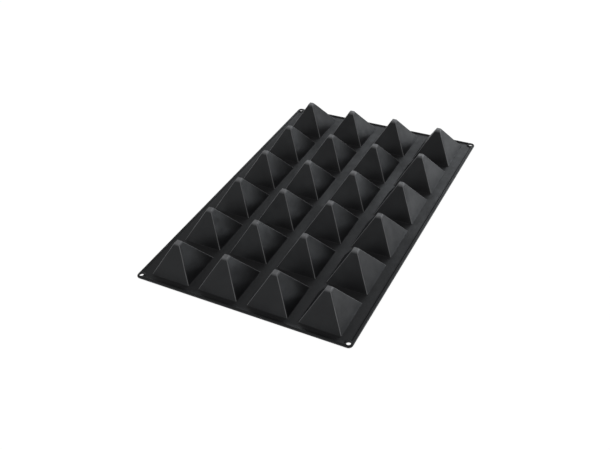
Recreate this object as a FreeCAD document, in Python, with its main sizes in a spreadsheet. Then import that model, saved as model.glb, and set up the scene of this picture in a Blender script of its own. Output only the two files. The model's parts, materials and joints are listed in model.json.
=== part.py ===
import FreeCAD, Part
import math
import os

import Sketcher
from FreeCAD import Placement, Rotation, Vector

# A flexible casting mould for 24 blunt pyramids, four across and six along.
# It lies the way it is stored: mouths down on the table, closed tips up.
# The origin is at the centre of the underside, +Z is up, +Y runs along the long side.
# The sheet is one moulding. It is divided here into six stiff rows of pockets
# and the five strips of bare sheet between them, where it bends. A pocket is plain:
# nine blocks with flat faces, which touch and leave its cavity open below.

os.makedirs("parts", exist_ok=True)
doc = FreeCAD.newDocument("casting_mould")

# Driving dimensions in millimetres, one named cell each.
DIMENSIONS = {
    "sheet_width": 400,
    "sheet_length": 600,
    "sheet_thickness": 2,
    "side_margin": 22.2,
    "end_margin": 14.7,
    "column_gap": 16.4,
    "row_gap": 17.4,
    "flex_length": 10,
    "cast_depth": 54,
    "cast_flat": 6,
    "side_wall": 2.3,
    "crown_wall": 2,
    "rim_width": 6,
    "rim_height": 4,
    "hole_diameter": 8,
    "hole_inset": 7.5,
}
COLUMNS = 4
ROWS = "abcdef"
LOW, HIGH = -1, 1

sizes = doc.addObject("Spreadsheet::Sheet", "sizes")
for line, (name, value) in enumerate(DIMENSIONS.items(), start=1):
    sizes.set(f"A{line}", name)
    sizes.set(f"B{line}", str(value))
    sizes.setAlias(f"B{line}", name)
doc.recompute()

# Lengths that several pieces share, as expressions on the sheet's cells.
# A pocket's outside is measured at the underside, where its mouth is.
COLUMN_PITCH = f"((sizes.sheet_width - 2 * sizes.side_margin + sizes.column_gap) / {COLUMNS})"
ROW_PITCH = f"((sizes.sheet_length - 2 * sizes.end_margin + sizes.row_gap) / {len(ROWS)})"
POCKET_WIDTH = f"({COLUMN_PITCH} - sizes.column_gap)"
POCKET_LENGTH = f"({ROW_PITCH} - sizes.row_gap)"
POCKET_HEIGHT = "(sizes.cast_depth + sizes.crown_wall)"
FLANGE = "((sizes.row_gap - sizes.flex_length) / 2)"
SEAT_WIDTH = f"({POCKET_WIDTH} + 2 * {FLANGE})"
ROW_LENGTH = f"({ROW_PITCH} - sizes.flex_length)"
SLAB_WIDTH = "(sizes.sheet_width - 2 * sizes.rim_width)"
# From the middle of an end row to the end of the sheet, and to its corner holes.
END_REACH = f"({POCKET_LENGTH} / 2 + sizes.end_margin)"
HOLE_X = "(sizes.sheet_width / 2 - sizes.hole_inset)"
HOLE_Y = f"({END_REACH} - sizes.hole_inset)"
# The bead's crest is an arc that rises from the top of the sheet on both sides.
BEAD_RISE = "(sizes.rim_height - sizes.sheet_thickness)"
BEAD_RADIUS = f"((sizes.rim_width ^ 2 / 4 + {BEAD_RISE} ^ 2) / (2 * {BEAD_RISE}))"


def value_of(expression):
    """The number that an expression on the sheet gives now, in millimetres."""
    return float(sizes.evalExpression(expression.replace("sizes.", "")))


def bind(thing, **expressions):
    """Ties properties to expressions: a double underscore stands for a dot."""
    for path, expression in expressions.items():
        thing.setExpression(path.replace("__", "."), expression)


def set_down(thing, row_place, column_place="0", turned=False):
    """Puts a sub-part's origin at the middle of its row or pocket, on the underside."""
    half_turn = Rotation(Vector(0, 0, 1), 180 if turned else 0)
    thing.Placement = Placement(Vector(0, 0, 0), half_turn)
    bind(thing, Placement__Base__x=column_place, Placement__Base__y=row_place)


def new_body(label, row_place="0", turned=False):
    """A body whose origin is at the middle of its row, on the underside."""
    body = doc.addObject("PartDesign::Body", label)
    body.Label = label
    set_down(body, row_place, turned=turned)
    return body


def origin_plane(body, role):
    return next(f for f in body.Origin.OriginFeatures if f.Role == role)


def row_offset(position):
    """Where a row's middle is along +Y, as an expression."""
    return f"({position - (len(ROWS) - 1) / 2}) * {ROW_PITCH}"


def slab(body, name, width, length, start):
    """A flat piece of the sheet, centred on X, from start to start + length along Y."""
    box = body.newObject("PartDesign::AdditiveBox", name)
    bind(box, Length=width, Width=length, Height="sizes.sheet_thickness")
    bind(box, Placement__Base__x=f"-{width} / 2", Placement__Base__y=start)
    return box


def lean(size):
    """How far a pocket's wall leans in per millimetre of height, from its size that way."""
    return f"(({size} / 2 - sizes.side_wall - sizes.cast_flat / 2) / sizes.cast_depth)"


def outside(size, height):
    """From a pocket's middle to its outside at a height."""
    return f"({size} / 2 - {lean(size)} * {height})"


def inside(size, height):
    """From a pocket's middle to its cavity's side at a height."""
    return f"({outside(size, height)} - sizes.side_wall)"


def both_sides(reach):
    """The limits that lie as far out on both sides of the middle."""
    return f"(-{reach})", reach


def one_side(near, far, side):
    """The limits from near to far on the low or the high side of the middle."""
    return (near, far) if side == HIGH else (f"(-{far})", f"(-{near})")


def left_or_right_wall(height, side):
    """A wall's rectangle at a height, between the front and the back wall."""
    across = one_side(inside(POCKET_WIDTH, height), outside(POCKET_WIDTH, height), side)
    return across, both_sides(inside(POCKET_LENGTH, height))


def front_or_back_wall(height, side):
    """A wall's rectangle at a height, as wide as the pocket is there."""
    along = one_side(inside(POCKET_LENGTH, height), outside(POCKET_LENGTH, height), side)
    return both_sides(outside(POCKET_WIDTH, height)), along


def left_or_right_flange(height, side):
    """The strip of sheet beside the pocket, as long as the pocket is there."""
    across = one_side(outside(POCKET_WIDTH, height), f"({SEAT_WIDTH} / 2)", side)
    return across, both_sides(outside(POCKET_LENGTH, height))


def front_or_back_flange(height, side):
    """The strip of sheet in front of or behind the pocket, as wide as its seat."""
    along = one_side(outside(POCKET_LENGTH, height), f"({ROW_LENGTH} / 2)", side)
    return both_sides(f"({SEAT_WIDTH} / 2)"), along


def crown(height, _side):
    """The closed tip, over all four walls."""
    return both_sides(outside(POCKET_WIDTH, height)), both_sides(outside(POCKET_LENGTH, height))


def block(name, high, section, side, low="0"):
    """A solid that runs evenly from its section at one height up to that at another.

    section gives the rectangle at a height, as its limits along X and then Y."""
    solid = doc.addObject("Part::Wedge", name)
    solid.Placement = Placement(Vector(0, 0, 0), Rotation(Vector(1, 0, 0), 90))
    bind(solid, Ymax=high, Ymin=low)
    (left, right), (front, back) = section(low, side)
    bind(solid, Xmax=right, Xmin=left, Zmax=f"(-{front})", Zmin=f"(-{back})")
    (left, right), (front, back) = section(high, side)
    bind(solid, X2max=right, X2min=left, Z2max=f"(-{front})", Z2min=f"(-{back})")
    return solid


def pocket_blocks():
    """A pocket round its own middle: four walls, the flange round its mouth, and a crown."""
    blocks = [block("crown", POCKET_HEIGHT, crown, HIGH, low="sizes.cast_depth")]
    for side, across, along in ((LOW, "left", "front"), (HIGH, "right", "back")):
        for name, high, section in (
            (f"{across}_wall", "sizes.cast_depth", left_or_right_wall),
            (f"{along}_wall", "sizes.cast_depth", front_or_back_wall),
            (f"{across}_flange", "sizes.sheet_thickness", left_or_right_flange),
            (f"{along}_flange", "sizes.sheet_thickness", front_or_back_flange),
        ):
            blocks.append(block(name, high, section, side))
    return blocks


def together(label, pieces, row_place, column_place="0", turned=False):
    """One sub-part made of several solids that touch, set down in its row."""
    group = doc.addObject("Part::Compound", label)
    group.Label = label
    group.Links = pieces
    set_down(group, row_place, column_place, turned)
    return group


def bead_sketch(body, name, plane, reach, back):
    """The bead's section: flat foot, upright sides to the sheet's top, round crest.

    reach is how far its outer side is from the origin, and back is how far the
    sketch is set back along the plane's normal."""
    sketch = body.newObject("Sketcher::SketchObject", name)
    sketch.AttachmentSupport = (origin_plane(body, plane), [""])
    sketch.MapMode = "FlatFace"
    bind(sketch, AttachmentOffset__Base__z=back)
    outer = -value_of(reach)
    inner = outer + value_of("sizes.rim_width")
    side = value_of("sizes.sheet_thickness")
    radius = value_of(BEAD_RADIUS)
    centre = Vector((outer + inner) / 2, value_of("sizes.rim_height") - radius, 0)
    swing = math.acos((inner - centre.x) / radius)
    sketch.addGeometry(Part.LineSegment(Vector(outer, 0, 0), Vector(inner, 0, 0)))
    sketch.addGeometry(Part.LineSegment(Vector(inner, 0, 0), Vector(inner, side, 0)))
    crest = Part.Circle(centre, Vector(0, 0, 1), radius)
    start = swing if side > centre.y else -swing
    sketch.addGeometry(Part.ArcOfCircle(crest, start, math.pi - start))
    sketch.addGeometry(Part.LineSegment(Vector(outer, side, 0), Vector(outer, 0, 0)))
    for first, second in ((0, 1), (1, 2), (2, 3), (3, 0)):
        sketch.addConstraint(Sketcher.Constraint("Coincident", first, 2, second, 1))
    sketch.addConstraint(Sketcher.Constraint("Horizontal", 0))
    sketch.addConstraint(Sketcher.Constraint("Vertical", 1))
    sketch.addConstraint(Sketcher.Constraint("Vertical", 3))
    sketch.addConstraint(Sketcher.Constraint("Equal", 1, 3))
    sketch.addConstraint(Sketcher.Constraint("PointOnObject", 0, 1, -1))
    for label, constraint, expression in (
        ("reach", ("DistanceX", 0, 1, -1, 1, -outer), reach),
        ("span", ("DistanceX", 0, 1, 0, 2, inner - outer), "sizes.rim_width"),
        ("side", ("DistanceY", 1, 1, 1, 2, side), "sizes.sheet_thickness"),
        ("crest", ("Radius", 2, radius), BEAD_RADIUS),
    ):
        number = sketch.addConstraint(Sketcher.Constraint(*constraint))
        sketch.renameConstraint(number, label)
        sketch.setExpression(f"Constraints.{label}", expression)
    return sketch


def pad(body, name, sketch, length, backwards):
    solid = body.newObject("PartDesign::Pad", name)
    solid.Profile = sketch
    solid.Reversed = backwards
    bind(solid, Length=length)
    return solid


def side_bead(body, name, start, length):
    """The bead along the left long edge, from start to start + length along Y."""
    sketch = bead_sketch(body, f"{name}_section", "XZ_Plane", "sizes.sheet_width / 2", f"-({start})")
    return pad(body, name, sketch, length, backwards=True)


def mirror_across(body, name, features):
    """Repeats features on the right-hand side of the sheet."""
    mirrored = body.newObject("PartDesign::Mirrored", name)
    mirrored.Originals = features
    mirrored.MirrorPlane = (origin_plane(body, "YZ_Plane"), [""])
    body.Tip = mirrored
    return mirrored


def eyelet(body, name, x):
    """A round pad concentric with the sheet's corner, crowned like the bead."""
    sketch = body.newObject("Sketcher::SketchObject", f"{name}_section")
    sketch.AttachmentSupport = (origin_plane(body, "XZ_Plane"), [""])
    sketch.MapMode = "FlatFace"
    bind(sketch, AttachmentOffset__Base__x=x, AttachmentOffset__Base__z=HOLE_Y)
    edge = value_of("sizes.hole_inset")
    side = value_of("sizes.sheet_thickness")
    crest = value_of("sizes.rim_height")
    radius = value_of(BEAD_RADIUS)
    crest_x = edge - value_of("sizes.rim_width") / 2
    centre = Vector(crest_x, crest - radius, 0)
    start = math.atan2(side - centre.y, edge - centre.x)
    arc = Part.ArcOfCircle(Part.Circle(centre, Vector(0, 0, 1), radius), start, math.pi / 2)
    corners = [Vector(0, 0, 0), Vector(edge, 0, 0), Vector(edge, side, 0)]
    sketch.addGeometry(Part.LineSegment(corners[0], corners[1]))
    sketch.addGeometry(Part.LineSegment(corners[1], corners[2]))
    sketch.addGeometry(arc)
    sketch.addGeometry(Part.LineSegment(Vector(crest_x, crest, 0), Vector(0, crest, 0)))
    sketch.addGeometry(Part.LineSegment(Vector(0, crest, 0), corners[0]))
    for first, second in ((0, 1), (1, 2), (2, 3), (3, 4), (4, 0)):
        sketch.addConstraint(Sketcher.Constraint("Coincident", first, 2, second, 1))
    sketch.addConstraint(Sketcher.Constraint("Coincident", 0, 1, -1, 1))
    sketch.addConstraint(Sketcher.Constraint("Horizontal", 0))
    sketch.addConstraint(Sketcher.Constraint("Vertical", 1))
    sketch.addConstraint(Sketcher.Constraint("Horizontal", 3))
    sketch.addConstraint(Sketcher.Constraint("Vertical", 4))
    for label, constraint, expression in (
        ("edge", ("DistanceX", 0, 1, 0, 2, edge), "sizes.hole_inset"),
        ("side", ("DistanceY", 1, 1, 1, 2, side), "sizes.sheet_thickness"),
        ("crest", ("DistanceY", 4, 2, 4, 1, crest), "sizes.rim_height"),
        ("flat", ("DistanceX", 3, 2, 3, 1, crest_x), "sizes.hole_inset - sizes.rim_width / 2"),
        ("round", ("Radius", 2, radius), BEAD_RADIUS),
    ):
        number = sketch.addConstraint(Sketcher.Constraint(*constraint))
        sketch.renameConstraint(number, label)
        sketch.setExpression(f"Constraints.{label}", expression)
    turned = body.newObject("PartDesign::Revolution", name)
    turned.Profile = sketch
    turned.ReferenceAxis = (sketch, ["V_Axis"])
    turned.Angle = 360
    return turned


def corner_cutter(body, name, radius, x):
    """A cylinder through the sheet at a corner hole's place."""
    cutter = body.newObject("PartDesign::SubtractiveCylinder", name)
    bind(cutter, Radius=radius, Height="sizes.rim_height")
    bind(cutter, Placement__Base__x=x, Placement__Base__y=f"-{HOLE_Y}")
    return cutter


def inner_web(label, row_place="0"):
    """The bare sheet of an inner row: five bars between its pockets and its beads."""
    body = new_body(label, row_place)
    slab(body, f"{label}_slab", SLAB_WIDTH, ROW_LENGTH, f"-{ROW_LENGTH} / 2")
    cut_seats(body, label)
    return body


def end_web(label, row_place, turned):
    """The bare sheet of an end row: five bars, and the margin beside the end bead."""
    bars = inner_web(f"{label}_bars")
    margin = new_body(f"{label}_margin")
    start = f"({END_REACH} - sizes.rim_width)"
    margin_width = f"({start} - {ROW_LENGTH} / 2)"
    slab(margin, f"{label}_margin_slab", SLAB_WIDTH, margin_width, f"-{start}")
    for body in (bars, margin):
        for side, x in (("left", f"-{HOLE_X}"), ("right", HOLE_X)):
            name = f"{body.Label}_{side}_relief"
            body.Tip = corner_cutter(body, name, "sizes.hole_inset", x)
    return together(label, [bars, margin], row_place, turned=turned)


def cut_seats(body, label):
    """Opens the sheet where the row's pockets and their flanges sit."""
    seat = body.newObject("PartDesign::SubtractiveBox", f"{label}_seat")
    bind(seat, Length=SEAT_WIDTH, Width=ROW_LENGTH, Height="sizes.sheet_thickness")
    first_column = f"-{(COLUMNS - 1) / 2} * {COLUMN_PITCH}"
    bind(
        seat,
        Placement__Base__x=f"{first_column} - {SEAT_WIDTH} / 2",
        Placement__Base__y=f"-{ROW_LENGTH} / 2",
    )
    seats = body.newObject("PartDesign::LinearPattern", f"{label}_seats")
    seats.Originals = [seat]
    seats.Direction = (origin_plane(body, "X_Axis"), [""])
    seats.Occurrences = COLUMNS
    bind(seats, Length=f"{COLUMNS - 1} * {COLUMN_PITCH}")
    body.Tip = seats


def inner_rim(label, row_place):
    """The beads along both long edges beside an inner row."""
    body = new_body(label, row_place)
    bead = side_bead(body, f"{label}_bead", f"-{ROW_LENGTH} / 2", ROW_LENGTH)
    mirror_across(body, f"{label}_both", [bead])
    return body


def end_rim(label, row_place, turned):
    """The bead round one end of the sheet, with an eyelet at each corner."""
    body = new_body(label, row_place, turned)
    long_bead = side_bead(
        body, f"{label}_side", f"-{HOLE_Y}", f"({HOLE_Y} + {ROW_LENGTH} / 2)"
    )
    mirror_across(body, f"{label}_sides", [long_bead])
    section = bead_sketch(body, f"{label}_end_section", "YZ_Plane", END_REACH, f"-{HOLE_X}")
    pad(body, f"{label}_end", section, f"2 * {HOLE_X}", backwards=False)
    for side, x in (("left", f"-{HOLE_X}"), ("right", HOLE_X)):
        eyelet(body, f"{label}_{side}_eyelet", x)
        radius = "sizes.hole_diameter / 2"
        body.Tip = corner_cutter(body, f"{label}_{side}_hole", radius, x)
    return body


def flex_web(label, row_place):
    """The strip of sheet after a row, bead to bead, where the mould bends."""
    body = new_body(label, f"{row_place} + {ROW_PITCH} / 2")
    start = "-sizes.flex_length / 2"
    slab(body, f"{label}_strip", SLAB_WIDTH, "sizes.flex_length", start)
    bead = side_bead(body, f"{label}_bead", start, "sizes.flex_length")
    mirror_across(body, f"{label}_both", [bead])
    return body


nodes = []
one_pocket = pocket_blocks()
for row, letter in enumerate(ROWS):
    row_place = row_offset(row)
    for column in range(COLUMNS):
        column_place = f"({column - (COLUMNS - 1) / 2}) * {COLUMN_PITCH}"
        label = f"pocket_{letter}{column + 1}"
        nodes.append(together(label, one_pocket, row_place, column_place))
    at_far_end = row == len(ROWS) - 1
    if row == 0 or at_far_end:
        nodes.append(end_web(f"row_{letter}_web", row_place, turned=at_far_end))
        nodes.append(end_rim(f"row_{letter}_rim", row_place, turned=at_far_end))
    else:
        nodes.append(inner_web(f"row_{letter}_web", row_place))
        nodes.append(inner_rim(f"row_{letter}_rim", row_place))
    if not at_far_end:
        nodes.append(flex_web(f"flex_web_{letter}{ROWS[row + 1]}", row_place))

doc.recompute()
for thing in doc.Objects:
    if "Invalid" in thing.State or "Error" in thing.State:
        raise RuntimeError(f"{thing.Label} failed: {thing.State}")
for node in nodes:
    if node.Shape.isNull() or not node.Shape.isValid():
        raise RuntimeError(f"{node.Label} has no valid shape")
for node in nodes:
    node.Shape.exportStep(f"parts/{node.Label}.step")
    print(node.Label, len(node.Shape.Solids), round(node.Shape.Volume, 1))
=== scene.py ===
import json
import math

import bmesh
import bpy
from mathutils import Matrix, Vector

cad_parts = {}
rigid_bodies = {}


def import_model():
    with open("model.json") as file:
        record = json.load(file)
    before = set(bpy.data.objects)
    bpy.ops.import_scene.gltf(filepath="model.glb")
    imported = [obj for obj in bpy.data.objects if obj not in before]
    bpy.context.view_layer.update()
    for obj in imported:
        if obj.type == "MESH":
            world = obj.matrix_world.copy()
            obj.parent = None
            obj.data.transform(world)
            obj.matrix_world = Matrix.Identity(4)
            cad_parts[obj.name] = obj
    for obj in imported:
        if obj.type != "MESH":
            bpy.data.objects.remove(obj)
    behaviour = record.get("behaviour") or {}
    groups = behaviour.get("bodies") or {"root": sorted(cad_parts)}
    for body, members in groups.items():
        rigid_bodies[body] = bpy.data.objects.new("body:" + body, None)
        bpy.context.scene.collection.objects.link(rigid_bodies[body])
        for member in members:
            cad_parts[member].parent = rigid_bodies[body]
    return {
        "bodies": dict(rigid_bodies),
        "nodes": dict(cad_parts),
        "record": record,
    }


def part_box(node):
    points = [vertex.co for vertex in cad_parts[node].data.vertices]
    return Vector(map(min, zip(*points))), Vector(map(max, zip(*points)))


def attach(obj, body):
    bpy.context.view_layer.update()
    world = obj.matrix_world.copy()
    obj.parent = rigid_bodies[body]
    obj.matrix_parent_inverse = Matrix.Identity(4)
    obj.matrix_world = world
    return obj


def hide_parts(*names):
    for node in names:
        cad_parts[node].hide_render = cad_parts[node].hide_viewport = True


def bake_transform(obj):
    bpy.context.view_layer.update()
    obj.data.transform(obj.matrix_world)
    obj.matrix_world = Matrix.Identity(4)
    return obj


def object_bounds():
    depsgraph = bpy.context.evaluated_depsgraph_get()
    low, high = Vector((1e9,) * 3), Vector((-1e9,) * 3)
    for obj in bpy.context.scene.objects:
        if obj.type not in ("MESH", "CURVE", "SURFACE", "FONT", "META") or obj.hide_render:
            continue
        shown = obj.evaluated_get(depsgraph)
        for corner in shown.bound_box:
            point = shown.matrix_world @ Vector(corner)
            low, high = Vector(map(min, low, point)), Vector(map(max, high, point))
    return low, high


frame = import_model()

cad_low, cad_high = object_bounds()

# The sheet: one moulding of black silicone rubber, two millimetres thick, with a raised
# bead round its edge and a hanging hole in each corner, ringed by the same bead. It is
# drawn here as a plan of lines, which a top and an underside are then raised over.
THICKNESS = 0.002
BEAD_WIDTH = 0.006
BEAD_HEIGHT = 0.004
BEAD_FOOT = 0.0006
EDGE_ROUND = 0.0005
CORNER_STEPS = 6
EYELET_SHARES = (0, 0.08, 0.2, 0.35, 0.5, 0.65, 0.8, 0.86, 0.91, 0.96, 1)
half_sheet = Vector(cad_high).xy
holes = [m for m in frame["record"]["mounts"] if m["kind"] == "bore"]
hole_radius = holes[0]["dims"]["r_mm"] / 1000
hole_inset = half_sheet.x - abs(holes[0]["pos_m"][0])
bead_rise = BEAD_HEIGHT - THICKNESS
crest_radius = (BEAD_WIDTH**2 / 4 + bead_rise**2) / (2 * bead_rise)


def inside_edge(x, y):
    """How far a point of the plan is inside the sheet's outline, whose corners are round."""
    across = abs(x) - (half_sheet.x - hole_inset)
    along = abs(y) - (half_sheet.y - hole_inset)
    corner = math.hypot(max(across, 0), max(along, 0))
    return hole_inset - corner - min(max(across, along), 0)


def from_hole(x, y):
    """How far a point of the plan is from the middle of the nearest corner hole."""
    return math.hypot(abs(x) - half_sheet.x + hole_inset, abs(y) - half_sheet.y + hole_inset)


def bead_over_sheet(inside):
    """The bead's height above the sheet at a distance in from its outer side."""
    off_crest = min(abs(inside - BEAD_WIDTH / 2), crest_radius)
    return math.sqrt(crest_radius**2 - off_crest**2) - crest_radius + bead_rise


def round_over(distance):
    """How much a rounded edge falls away at a distance from its side."""
    left = min(max(EDGE_ROUND - distance, 0), EDGE_ROUND)
    return EDGE_ROUND - math.sqrt(EDGE_ROUND**2 - left**2)


def top_height(x, y):
    """The top of the sheet, with the bead, the rings round the holes and their soft feet."""
    hole = from_hole(x, y)
    crest_of_ring = hole_inset - BEAD_WIDTH / 2
    ring = bead_over_sheet(hole_inset - max(hole, crest_of_ring))
    rise = max(bead_over_sheet(inside_edge(x, y)), ring)
    foot = max(rise + BEAD_FOOT, 0) ** 2 / (4 * BEAD_FOOT)
    return THICKNESS + (rise if rise > BEAD_FOOT else foot) - round_over(hole - hole_radius)


def under_height(x, y):
    """The underside of the sheet, which is flat but for its rounded edges."""
    return round_over(min(inside_edge(x, y), from_hole(x, y) - hole_radius))


def ladder(stops, steps):
    """Stops with even steps between each pair."""
    rungs = [stops[0]]
    for low, high, count in zip(stops, stops[1:], steps):
        rungs += [low + (high - low) * k / count for k in range(1, count + 1)]
    return rungs


# The pockets stand in a seat each, a rectangle of the sheet that belongs to the pocket.
# The plan's lines cross the sheet between the seats and meet the pockets' faces point by
# point on every seat's border. They lie close together over the bead.
SEAT_STEPS = 20
WEB_STEP = 0.003
MERGE = 2e-6  # points nearer than this are one
SNAP = 1e-7  # slack when a line is matched to a border
bodies = sorted(frame["bodies"])
pockets = {row: sorted(n for n in frame["nodes"] if n.startswith(f"pocket_{row[-1]}")) for row in bodies}
strips = sorted(name for name in frame["nodes"] if name.startswith("flex_web"))
seat_low, seat_high = (Vector(corner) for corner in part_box(pockets[bodies[0]][0]))
seat = (seat_high - seat_low).xy
seat_margin = seat_low.y + half_sheet.y
bead_lines = [0, 0.0002, EDGE_ROUND, 0.001, 0.0018, 0.003, 0.0042, 0.0052, BEAD_WIDTH, 0.0066]
edge_lines = bead_lines + [seat_margin, seat_margin + seat.y / SEAT_STEPS]


def lines_across():
    """The plan's lines from the left long edge to the right one."""
    lines = [edge - half_sheet.x for edge in edge_lines]
    for pocket in pockets[bodies[0]]:
        low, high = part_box(pocket)
        gap_steps = max(1, round((low[0] - lines[-1]) / WEB_STEP))
        lines += ladder([lines[-1], low[0], high[0]], [gap_steps, SEAT_STEPS])[1:]
    return lines + [half_sheet.x - edge for edge in reversed(edge_lines)]


def lines_along(row):
    """The plan's lines along a row, out to the sheet's end where it is an end row."""
    low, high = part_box(pockets[row][0])
    lines = ladder([low[1], high[1]], [SEAT_STEPS])
    if row == bodies[0]:
        return [edge - half_sheet.y for edge in edge_lines] + lines[2:]
    if row == bodies[-1]:
        return lines[:-2] + [half_sheet.y - edge for edge in reversed(edge_lines)]
    return lines


def rectangle_ring(xs, ys):
    """The points of a rectangle's sides, anticlockwise from its lower left corner."""
    points = [(x, ys[0]) for x in xs[:-1]] + [(xs[-1], y) for y in ys[:-1]]
    return points + [(x, ys[-1]) for x in xs[:0:-1]] + [(xs[0], y) for y in ys[:0:-1]]


def fill_rings(mesh, rings):
    """Faces between closed rings, which face up when the rings go inwards. Returns the last ring."""
    loops = [[mesh.verts.new(point) for point in ring] for ring in rings]
    for outer, inner in zip(loops, loops[1:]):
        for k in range(len(outer)):
            j = (k + 1) % len(outer)
            mesh.faces.new((outer[k], outer[j], inner[j], inner[k]))
    return loops[-1]


def corner_rings(xs, ys):
    """Rings of plan points from the border of a corner's patch in to its hole."""
    side_x, side_y = math.copysign(1, xs[0]), math.copysign(1, ys[0])
    middle = Vector((side_x * (half_sheet.x - hole_inset), side_y * (half_sheet.y - hole_inset)))
    border = [Vector(point) for point in rectangle_ring(xs, ys)]
    spokes = [(point - middle).normalized() for point in border]
    for k, spoke in enumerate(spokes):
        if spoke.x * side_x >= 0 and spoke.y * side_y >= 0:
            border[k] = middle + spoke * hole_inset
    rim = [middle + spoke * hole_inset for spoke in spokes]
    rings = []
    for k in range(CORNER_STEPS):
        rings.append([p.lerp(q, k / CORNER_STEPS) for p, q in zip(border, rim)])
    ring_width = hole_inset - hole_radius
    for share in EYELET_SHARES:
        rings.append([middle + spoke * (hole_inset - share * ring_width) for spoke in spokes])
    return rings


def raise_sheet(xs, ys, windows=(), corners=()):
    """The sheet over a plan: its top, and its underside facing down."""
    mesh = bmesh.new()
    for height, is_under in ((top_height, False), (under_height, True)):
        before = set(mesh.faces)
        grid = [[mesh.verts.new((x, y, height(x, y))) for y in ys] for x in xs]
        for i in range(len(xs) - 1):
            for j in range(len(ys) - 1):
                x, y = (xs[i] + xs[i + 1]) / 2, (ys[j] + ys[j + 1]) / 2
                if not any(a < x < c and b < y < d for a, b, c, d in (*windows, *corners)):
                    cell = (grid[i][j], grid[i + 1][j], grid[i + 1][j + 1], grid[i][j + 1])
                    mesh.faces.new(cell)
        for a, b, c, d in corners:
            in_x = [x for x in xs if a - SNAP < x < c + SNAP]
            in_y = [y for y in ys if b - SNAP < y < d + SNAP]
            rings = corner_rings(in_x, in_y)
            fill_rings(mesh, [[(p.x, p.y, height(p.x, p.y)) for p in ring] for ring in rings])
        if is_under:
            bmesh.ops.reverse_faces(mesh, faces=[f for f in mesh.faces if f not in before])
    loose = [v for v in mesh.verts if not v.link_faces]
    bmesh.ops.delete(mesh, geom=loose, context="VERTS")
    bmesh.ops.remove_doubles(mesh, verts=mesh.verts, dist=MERGE)
    return mesh


# One pocket, a blunt pyramid of even wall, closed at the tip and open at the mouth below.
# Its ridges, tip and foot are rounded as the tool's are. It is drawn once, round the
# middle of its seat, as an outside and a cavity, each a stack of round-cornered rings.
FLANGE = 0.0037
SIDE_WALL = 0.0023
CROWN_WALL = 0.002
CAST_FLAT = 0.006
FOOT_ROUND = 0.0013
TIP_ROUND = 0.0008
CAST_TIP_ROUND = 0.001
LIP_ROUND = 0.0007
RIDGE_ROUND = 0.0013
CAST_RIDGE_ROUND = 0.001
ARC_STEPS = 4
OUTSIDE_ARC_STEPS = 5
CAVITY_ARC_STEPS = 4
FACE_STEPS = 14
LAST_RING = 0.001  # how near the path comes to the middle of the tip
LARGEST_CORNER = 0.8  # as a share of a ring's half width
tip_height = seat_high.z
cast_depth = tip_height - CROWN_WALL
outside_foot = seat / 2 - Vector((FLANGE, FLANGE))
mouth = outside_foot - Vector((SIDE_WALL, SIDE_WALL))
lean = (mouth - Vector((CAST_FLAT, CAST_FLAT)) / 2) / cast_depth
mean_lean = (lean.x + lean.y) / 2


def rounded_path(points, radii, steps):
    """A path through points in a plane, whose inner points are rounded to arcs."""
    points = [Vector(point) for point in points]
    path = [points[0]]
    for before, corner, after, radius in zip(points, points[1:], points[2:], radii):
        back, on = (before - corner).normalized(), (after - corner).normalized()
        half_angle = back.angle(on) / 2
        centre = corner + (back + on).normalized() * radius / math.sin(half_angle)
        arc_start = corner + back * radius / math.tan(half_angle) - centre
        arc_end = corner + on * radius / math.tan(half_angle) - centre
        turn = arc_start.angle_signed(arc_end)
        for k in range(steps + 1):
            angle = -turn * k / steps
            c, s = math.cos(angle), math.sin(angle)
            spoke = Vector((c * arc_start.x - s * arc_start.y, s * arc_start.x + c * arc_start.y))
            path.append(centre + spoke)
    return path + [points[-1]]


def round_ring(half, corner, z):
    """A rectangle with round corners, with as many points as a seat's border.

    Each point also says how far it is round its corner, from 0 at the side to 1 halfway."""
    points = []
    for quarter in range(4):
        along, out = (half.x, half.y) if quarter % 2 == 0 else (half.y, half.x)
        for step in range(SEAT_STEPS):
            turned = max(ARC_STEPS - step, step - SEAT_STEPS + ARC_STEPS, 0) / ARC_STEPS
            arc = turned * math.pi / 4
            straight = (step - ARC_STEPS) / (SEAT_STEPS - 2 * ARC_STEPS)
            side = (2 * min(max(straight, 0), 1) - 1) * (along - corner)
            bulge = math.copysign(math.sin(arc), straight - 0.5) * corner
            x, y = side + bulge, corner - out - math.cos(arc) * corner
            for _ in range(quarter):
                x, y = -y, x
            points.append((x, y, z, turned))
    return points


def pocket_skin(mesh, path, ridge_round, level):
    """One side of a pocket's wall from its seat's border to its closed tip.

    Its points carry how much painted highlight they take: fully on a ridge and round the tip's edge."""
    border = rectangle_ring(
        ladder([-seat.x / 2, seat.x / 2], [SEAT_STEPS]), ladder([-seat.y / 2, seat.y / 2], [SEAT_STEPS])
    )
    rings = [[(x, y, level, 0) for x, y in border]]
    shares = lean / mean_lean
    for inset, z in path[1:]:
        half = Vector((outside_foot.x - inset * shares.x, outside_foot.y - inset * shares.y))
        flare = max(path[1].x + FOOT_ROUND / 2 - inset, 0)
        corner = min(ridge_round + flare, LARGEST_CORNER * min(half))
        rings.append(round_ring(half, corner, z))
    # painted highlight: the ridges and the tip's edge are marked here to be coloured paler in the material
    painted_highlight = mesh.verts.layers.float.get("painted_highlight") or mesh.verts.layers.float.new("painted_highlight")
    before = len(mesh.verts)
    mesh.faces.new(fill_rings(mesh, [[point[:3] for point in ring] for ring in rings]))
    mesh.verts.ensure_lookup_table()
    edge_of_tip = path[-1].y - TIP_ROUND / 3
    points = [point for ring in rings for point in ring]
    for vert, (_, _, z, turned) in zip(mesh.verts[before:], points):
        on_ridge = turned if z > 2 * FOOT_ROUND else 0
        vert[painted_highlight] = max(on_ridge, 1 - min(abs(z - edge_of_tip) / TIP_ROUND, 1))


def split_long(path, steps):
    """The path with its one long climb divided evenly."""
    longest = max(range(len(path) - 1), key=lambda k: (path[k + 1] - path[k]).length)
    climb = [path[longest].lerp(path[longest + 1], k / steps) for k in range(1, steps)]
    return path[: longest + 1] + climb + path[longest + 1 :]


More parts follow.
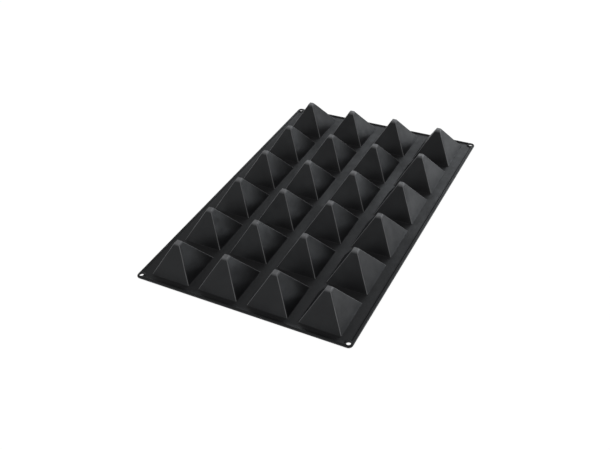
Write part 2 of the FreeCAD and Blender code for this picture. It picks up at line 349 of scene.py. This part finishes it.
def draw_pocket():
    """A pocket's outside and its cavity, both out to the border of the seat."""
    mesh = bmesh.new()
    outside = rounded_path(
        [
            (-FLANGE, THICKNESS),
            (mean_lean * THICKNESS, THICKNESS),
            (mean_lean * tip_height, tip_height),
            (min(outside_foot) - LAST_RING, tip_height),
        ],
        [FOOT_ROUND, TIP_ROUND],
        OUTSIDE_ARC_STEPS,
    )
    pocket_skin(mesh, split_long(outside, FACE_STEPS), RIDGE_ROUND, THICKNESS)
    before = set(mesh.faces)
    cavity = rounded_path(
        [
            (-FLANGE, 0),
            (SIDE_WALL, 0),
            (SIDE_WALL + mean_lean * cast_depth, cast_depth),
            (min(outside_foot) - LAST_RING, cast_depth),
        ],
        [LIP_ROUND, CAST_TIP_ROUND],
        CAVITY_ARC_STEPS,
    )
    pocket_skin(mesh, split_long(cavity, FACE_STEPS), CAST_RIDGE_ROUND, 0)
    bmesh.ops.reverse_faces(mesh, faces=[f for f in mesh.faces if f not in before])
    data = bpy.data.meshes.new("pocket_form")
    mesh.to_mesh(data)
    mesh.free()
    return bpy.data.objects.new("pocket_form", data)


pocket_form = draw_pocket()


# The silicone is dyed through, near black, with a fine satin skin off the tool. Release
# agent hazes it in patches, which dulls its gloss, and a little dust lies on it. Its ridges
# and tips are painted paler: a painted highlight for the sheen on their rounded edges.
RUBBER_DARK = (0.0055, 0.0057, 0.0068, 1)
RUBBER_HAZED = (0.0100, 0.0103, 0.0120, 1)
DUST = (0.10, 0.10, 0.105, 1)
# painted highlight: the pale grey laid on the ridges and round the tips
HIGHLIGHT_PAINT = (0.34, 0.34, 0.35, 1)
HAZE_SCALE = 14.0
CLOUD_SCALE = 70.0
DUST_SCALE = 1900.0
DUST_PATCH_SCALE = 60.0
GRAIN_SCALE = 2600.0
DIMPLE_SCALE = 420.0
SATIN_ROUGHNESS = 0.40
SILICONE_IOR = 1.43
GRAIN_DEPTH = 0.00012


class Wire:
    """A node's output, which Python's operators join to other values."""

    def __init__(self, tree, socket):
        self.tree = tree
        self.socket = socket

    def math(self, operation, *others):
        return node(self.tree, "ShaderNodeMath", (self, *others), operation=operation)

    def __add__(self, other):
        return self.math("ADD", other)

    def __mul__(self, other):
        return self.math("MULTIPLY", other)

    __radd__ = __add__
    __rmul__ = __mul__

    def step(self, low, high):
        """0 below low, 1 above high, and smooth between."""
        return node(
            self.tree,
            "ShaderNodeMapRange",
            {"Value": self, "From Min": low, "From Max": high},
            interpolation_type="SMOOTHSTEP",
        )


def node(tree, kind, values=(), output=0, **settings):
    """Adds a node with its settings and inputs, by name or in order, and wraps an output."""
    added = tree.nodes.new(kind)
    for name, setting in settings.items():
        setattr(added, name, setting)
    for key, value in values.items() if isinstance(values, dict) else enumerate(values):
        if isinstance(value, Wire):
            tree.links.new(value.socket, added.inputs[key])
        else:
            added.inputs[key].default_value = value
    return Wire(tree, added.outputs[output]) if len(added.outputs) else None


def silicone_look():
    """Near-black satin rubber with a fine grain, a slight haze, sparse dust and a painted highlight on the
    ridges.
    """
    material = bpy.data.materials.new("black_silicone")
    material.use_nodes = True
    tree = material.node_tree
    tree.nodes.clear()
    place = node(tree, "ShaderNodeTexCoord", output="Object")

    def noise(scale, detail=2.0, rough=0.5):
        values = {"Vector": place, "Scale": scale, "Detail": detail, "Roughness": rough}
        return node(tree, "ShaderNodeTexNoise", values)

    def tinted(factor, under, over):
        values = {"Factor": factor, "A": under, "B": over}
        return node(tree, "ShaderNodeMix", values, output="Result", data_type="RGBA")

    haze = noise(HAZE_SCALE, 4.0).step(0.38, 0.68)
    cloud = noise(CLOUD_SCALE, 5.0, 0.6).step(0.35, 0.75)
    specks = noise(DUST_SCALE).step(0.73, 0.80) * noise(DUST_PATCH_SCALE).step(0.45, 0.7)
    rubber = tinted(haze * 0.55 + cloud * 0.25, RUBBER_DARK, RUBBER_HAZED)
    dusty = tinted(specks * 0.5, rubber, DUST)
    # painted highlight: the ridges and tip edges are coloured paler where the mesh marks them
    highlight_share = node(tree, "ShaderNodeAttribute", output="Fac", attribute_name="painted_highlight")
    highlighted_colour = tinted(highlight_share * (cloud * 0.3 + 0.65), dusty, HIGHLIGHT_PAINT)
    grain = noise(GRAIN_SCALE, 2.0, 0.55)
    dimple = noise(DIMPLE_SCALE, 3.0, 0.6)
    relief = node(
        tree,
        "ShaderNodeBump",
        {"Strength": 0.22, "Distance": GRAIN_DEPTH, "Height": grain * 0.55 + dimple * 0.45},
    )
    shader = node(
        tree,
        "ShaderNodeBsdfPrincipled",
        {
            "Base Color": highlighted_colour,
            "Roughness": SATIN_ROUGHNESS + haze * 0.10 + cloud * 0.06 + specks * 0.2,
            "Normal": relief,
            "IOR": SILICONE_IOR,
        },
    )
    node(tree, "ShaderNodeOutputMaterial", {"Surface": shader})
    return material


silicone = silicone_look()


# Each row of the sheet carries four pockets in line. The row's bare sheet is raised from
# the plan with a window for each seat, the pocket is set into every window, and then the
# whole skin gets the slight sway that soft walls have when the mould stands on its mouths.
SWAY = 0.0011
SWAY_SCALE = 17.0
SWAY_RISE = (0.06, 1.0)
FACE_SWELL = 0.0003
FACE_SWELL_SCALE = 60.0
FACE_SWELL_RISE = (0.08, 0.3)


def row_tree():
    """A node tree that sets the pockets in a row's bare sheet and lets the skin sway.

    The two rises are shares of the tip's height, from where a sway starts to where it is full."""
    tree = bpy.data.node_groups.new("pockets_in_a_row", "GeometryNodeTree")
    for name, kind in (
        ("Bare sheet", "Geometry"),
        ("Pocket", "Object"),
        ("Pockets across", "Int"),
        ("First pocket", "Vector"),
        ("Pitch", "Vector"),
        ("Sway", "Float"),
        ("Swell", "Float"),
        ("Tip height", "Float"),
        ("Material", "Material"),
    ):
        tree.interface.new_socket(name, in_out="INPUT", socket_type=f"NodeSocket{kind}")
    tree.interface.new_socket("Skin", in_out="OUTPUT", socket_type="NodeSocketGeometry")
    given = tree.nodes.new("NodeGroupInput").outputs

    def wire(name):
        return Wire(tree, given[name])

    line = node(
        tree,
        "GeometryNodeMeshLine",
        {"Count": wire("Pockets across"), "Start Location": wire("First pocket"), "Offset": wire("Pitch")},
    )
    form = node(tree, "GeometryNodeObjectInfo", {"Object": wire("Pocket")}, output="Geometry")
    placed = node(tree, "GeometryNodeInstanceOnPoints", {"Points": line, "Instance": form})
    realized = node(tree, "GeometryNodeRealizeInstances", [placed])
    joined = tree.nodes.new("GeometryNodeJoinGeometry")
    for part in (wire("Bare sheet"), realized):
        tree.links.new(part.socket, joined.inputs[0])
    values = {"Geometry": Wire(tree, joined.outputs[0]), "Distance": MERGE}
    welded = node(tree, "GeometryNodeMergeByDistance", values)
    position = node(tree, "GeometryNodeInputPosition")
    height = node(tree, "ShaderNodeSeparateXYZ", [position], output="Z")
    share_of_height = height.math("DIVIDE", wire("Tip height"))
    rising = share_of_height.step(*SWAY_RISE)
    on_face = share_of_height.step(*FACE_SWELL_RISE)

    def wander(scale, amount, mask):
        colour = node(tree, "ShaderNodeTexNoise", {"Vector": position, "Scale": scale}, output="Color")
        centred = node(tree, "ShaderNodeVectorMath", (colour, (0.5, 0.5, 0.5)), operation="SUBTRACT")
        level = node(tree, "ShaderNodeVectorMath", (centred, (2, 2, 0)), operation="MULTIPLY")
        values = {0: level, "Scale": mask * amount}
        return node(tree, "ShaderNodeVectorMath", values, operation="SCALE")

    sway = wander(SWAY_SCALE, wire("Sway"), rising)
    swell = wander(FACE_SWELL_SCALE, wire("Swell"), on_face)
    offset = node(tree, "ShaderNodeVectorMath", (sway, swell), operation="ADD")
    moved = node(tree, "GeometryNodeSetPosition", {"Geometry": welded, "Offset": offset})
    smooth = node(tree, "GeometryNodeSetShadeSmooth", [moved])
    finished = node(
        tree, "GeometryNodeSetMaterial", {"Geometry": smooth, "Material": wire("Material")}
    )
    out = tree.nodes.new("NodeGroupOutput")
    tree.links.new(finished.socket, out.inputs[0])
    return tree


def reshape(piece, tree, inputs):
    """Replaces the piece's mesh with what a node tree makes of it."""
    modifier = piece.modifiers.new(tree.name, "NODES")
    modifier.node_group = tree
    for item in tree.interface.items_tree:
        if item.name in inputs:
            modifier[item.identifier] = inputs[item.name]
    evaluated = piece.evaluated_get(bpy.context.evaluated_depsgraph_get())
    result = bpy.data.meshes.new_from_object(evaluated)
    # the tree leaves an empty slot before its material's, and new sides would fall in it
    result.materials.pop(index=0)
    piece.modifiers.remove(modifier)
    piece.data = result


def finished_mesh(name, draft):
    data = bpy.data.meshes.new(name)
    draft.to_mesh(data)
    draft.free()
    return data


def new_piece(name, mesh):
    piece = bpy.data.objects.new(name, mesh)
    bpy.context.scene.collection.objects.link(piece)
    return piece


def plan_key(vert):
    """A point's place in the plan, to a hundredth of a millimetre."""
    return round(vert.co.x, 5), round(vert.co.y, 5)


def close_sides(piece, cuts):
    """Joins a skin's top to its underside along its edges, with crisp edges at the cuts."""
    mesh = bmesh.new()
    mesh.from_mesh(piece.data)
    top, under = {}, {}
    edges = [edge for edge in mesh.edges if edge.is_boundary]
    for edge in edges:
        level = top if edge.link_faces[0].normal.z > 0 else under
        for vert in edge.verts:
            level[plan_key(vert)] = vert
    caps = []
    for edge in edges:
        if edge.link_faces[0].normal.z > 0:
            first, second = edge.verts
            side = mesh.faces.new((first, second, under[plan_key(second)], under[plan_key(first)]))
            side.smooth = True
            if any(abs(first.co.y - cut) + abs(second.co.y - cut) < MERGE for cut in cuts):
                caps.append(side)
    bmesh.ops.recalc_face_normals(mesh, faces=mesh.faces)
    for edge in {edge for cap in caps for edge in cap.edges}:
        edge.smooth = all(face in caps for face in edge.link_faces)
    mesh.to_mesh(piece.data)
    mesh.free()


pockets_in_a_row = row_tree()
for row in bodies:
    boxes = [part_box(name) for name in pockets[row]]
    windows = [(low[0], low[1], high[0], high[1]) for low, high in boxes]
    xs, ys = lines_across(), lines_along(row)
    patch = edge_lines[-1]
    corners = []
    if row in (bodies[0], bodies[-1]):
        end = -half_sheet.y if row == bodies[0] else half_sheet.y
        span = sorted((end, end - math.copysign(patch, end)))
        for low_x in (-half_sheet.x, half_sheet.x - patch):
            corners.append((low_x, span[0], low_x + patch, span[1]))
    skin = new_piece(f"{row}_skin", finished_mesh(row, raise_sheet(xs, ys, windows, corners)))
    middles = [(Vector(low) + Vector(high)) / 2 for low, high in boxes]
    first, pitch = middles[0], middles[1] - middles[0]
    reshape(
        skin,
        pockets_in_a_row,
        {
            "Pocket": pocket_form,
            "Pockets across": len(boxes),
            "First pocket": (first.x, first.y, 0),
            "Pitch": (pitch.x, 0, 0),
            "Sway": SWAY,
            "Swell": FACE_SWELL,
            "Tip height": tip_height,
            "Material": silicone,
        },
    )
    close_sides(skin, [y for y in (ys[0], ys[-1]) if abs(y) < half_sheet.y - MERGE])
    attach(skin, row)
    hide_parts(*pockets[row], f"{row}_web", f"{row}_rim")


# Between the rows run bare strips of the same sheet, with the bead on both ends. No pocket
# stiffens them; each is drawn flat between the rows beside it.
STRIP_STEPS = 14
for strip in strips:
    low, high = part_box(strip)
    ys = ladder([low[1], high[1]], [STRIP_STEPS])
    skin = new_piece(f"{strip}_skin", finished_mesh(strip, raise_sheet(lines_across(), ys)))
    skin.data.shade_smooth()
    skin.data.materials.append(silicone)
    close_sides(skin, [low[1], high[1]])
    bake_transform(skin)
    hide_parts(strip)


# The stage: a wide pale floor that the camera sees as white, except where the mould's own
# shadow falls. Large soft lights stand to the right and behind, with a weaker one in front.
FLOOR_SIZE = 12
FLOOR_DROP = 0.0004
FLOOR_SHADE = 0.8
FLOOR_GLOW = 1.12
GLOW_SHARE = 0.86
SKY_LEVEL = 0.37
LIGHT_TINT = (0.90, 0.95, 1.0)


def stage_floor():
    mesh = bmesh.new()
    bmesh.ops.create_grid(mesh, x_segments=1, y_segments=1, size=FLOOR_SIZE)
    floor = new_piece("floor", finished_mesh("floor", mesh))
    floor.location.z = -FLOOR_DROP
    material = bpy.data.materials.new("pale_floor")
    material.use_nodes = True
    tree = material.node_tree
    tree.nodes.clear()
    paint = node(
        tree,
        "ShaderNodeBsdfPrincipled",
        {"Base Color": (FLOOR_SHADE,) * 3 + (1,), "Roughness": 0.9},
    )
    glow = node(tree, "ShaderNodeEmission", {"Color": (1, 1, 1, 1), "Strength": FLOOR_GLOW})
    rays = tree.nodes.new("ShaderNodeLightPath")
    camera, glossy, clear = (
        Wire(tree, rays.outputs[name])
        for name in ("Is Camera Ray", "Is Glossy Ray", "Is Transmission Ray")
    )
    seen = camera.math("MAXIMUM", glossy).math("MAXIMUM", clear)
    mixed = node(tree, "ShaderNodeMixShader", {0: seen * GLOW_SHARE, 1: paint, 2: glow})
    node(tree, "ShaderNodeOutputMaterial", {"Surface": mixed})
    floor.data.materials.append(material)


def soft_light(name, place, size, watts):
    """A rectangular softbox that faces the mould."""
    light = bpy.data.lights.new(name, "AREA")
    light.shape = "RECTANGLE"
    light.size, light.size_y = size
    light.energy = watts
    light.color = LIGHT_TINT
    lamp = new_piece(name, light)
    lamp.location = place
    lamp.rotation_euler = (-Vector(place)).to_track_quat("-Z", "Y").to_euler()


def sky():
    """A white world to the camera, and a dim even light to everything else."""
    world = bpy.data.worlds.new("studio")
    bpy.context.scene.world = world
    world.use_nodes = True
    tree = world.node_tree
    tree.nodes.clear()
    rays = tree.nodes.new("ShaderNodeLightPath")
    seen = Wire(tree, rays.outputs["Is Camera Ray"])
    strength = seen * (1 - SKY_LEVEL) + SKY_LEVEL
    shade = node(tree, "ShaderNodeBackground", {"Color": (1, 1, 1, 1), "Strength": strength})
    node(tree, "ShaderNodeOutputWorld", {"Surface": shade})


stage_floor()
sky()
soft_light("right_softbox", (2.0, 1.8, 0.45), (1.5, 0.7), 14)
soft_light("back_softbox", (-0.4, 2.6, 1.6), (2.2, 1.0), 16)
soft_light("front_softbox", (-1.0, -2.3, 1.1), (1.8, 1.0), 5)


# The camera stands off the near right corner, looks down on the mould and is held slightly
# askew.
CAMERA_AIM = Vector((0.0003, -0.0627, 0))
CAMERA_DISTANCE = 1.368
CAMERA_TURN = math.radians(30.25)
CAMERA_RISE = math.radians(38.44)
CAMERA_ROLL = math.radians(-4.71)
CAMERA_LENS = 44.9
away = Vector(
    (
        math.sin(CAMERA_TURN) * math.cos(CAMERA_RISE),
        -math.cos(CAMERA_TURN) * math.cos(CAMERA_RISE),
        math.sin(CAMERA_RISE),
    )
)
level_right = Vector((math.cos(CAMERA_TURN), math.sin(CAMERA_TURN), 0))
level_up = away.cross(level_right)
right = level_right * math.cos(CAMERA_ROLL) + level_up * math.sin(CAMERA_ROLL)
camera = bpy.data.objects.new("camera", bpy.data.cameras.new("camera"))
bpy.context.scene.collection.objects.link(camera)
camera.data.lens = CAMERA_LENS
camera.data.clip_start = 0.01
camera.matrix_world = Matrix.Translation(CAMERA_AIM + away * CAMERA_DISTANCE) @ Matrix(
    (right, away.cross(right), away)
).transposed().to_4x4()
bpy.context.scene.camera = camera
bpy.context.scene.view_settings.view_transform = "Standard"
